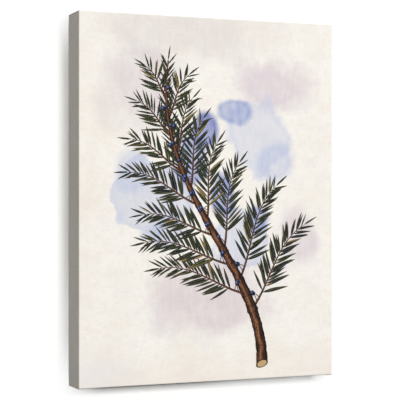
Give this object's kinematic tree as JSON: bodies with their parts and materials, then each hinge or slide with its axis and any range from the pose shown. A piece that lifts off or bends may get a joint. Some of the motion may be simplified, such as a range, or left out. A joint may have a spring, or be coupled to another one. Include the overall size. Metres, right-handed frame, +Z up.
{
  "type": "stretched canvas print",
  "caption": "Printed cloth stretched over mitred softwood bars and stapled behind, with a sawtooth hanger and rubber bumpers, for a wall.",
  "frame": {"origin": "where the wall nail sits: the middle notch of the hanger, on the wall's plane", "axes": "+Z up the wall, +Y from the print into the wall, +X to the right as the print is seen"},
  "size_m": [0.3018, 0.0448, 0.4018],
  "materials": {
    "canvas": "matt printed cotton canvas",
    "bars": "planed bare pine",
    "fastenings": "galvanised wire and sheet",
    "hanger": "thin bright plating",
    "bumpers": "matt black rubber"
  },
  "bodies": {
    "root": {"bar_bottom": "bars", "bar_left": "bars", "bar_right": "bars", "bar_top": "bars", "bumper_left": "bumpers", "bumper_right": "bumpers", "canvas": "canvas", "hanger": "hanger", "hanger_nail_left": "fastenings", "hanger_nail_right": "fastenings", "staple_bottom_1": "fastenings", "staple_bottom_2": "fastenings", "staple_bottom_3": "fastenings", "staple_bottom_4": "fastenings", "staple_bottom_left": "fastenings", "staple_bottom_right": "fastenings", "staple_left_1": "fastenings", "staple_left_2": "fastenings", "staple_left_3": "fastenings", "staple_left_4": "fastenings", "staple_left_5": "fastenings", "staple_left_6": "fastenings", "staple_right_1": "fastenings", "staple_right_2": "fastenings", "staple_right_3": "fastenings", "staple_right_4": "fastenings", "staple_right_5": "fastenings", "staple_right_6": "fastenings", "staple_top_1": "fastenings", "staple_top_2": "fastenings", "staple_top_3": "fastenings", "staple_top_4": "fastenings", "staple_top_left": "fastenings", "staple_top_right": "fastenings", "v_nail_bottom_left_inner": "fastenings", "v_nail_bottom_left_outer": "fastenings", "v_nail_bottom_right_inner": "fastenings", "v_nail_bottom_right_outer": "fastenings", "v_nail_top_left_inner": "fastenings", "v_nail_top_left_outer": "fastenings", "v_nail_top_right_inner": "fastenings", "v_nail_top_right_outer": "fastenings"}
  },
  "joints": []
}
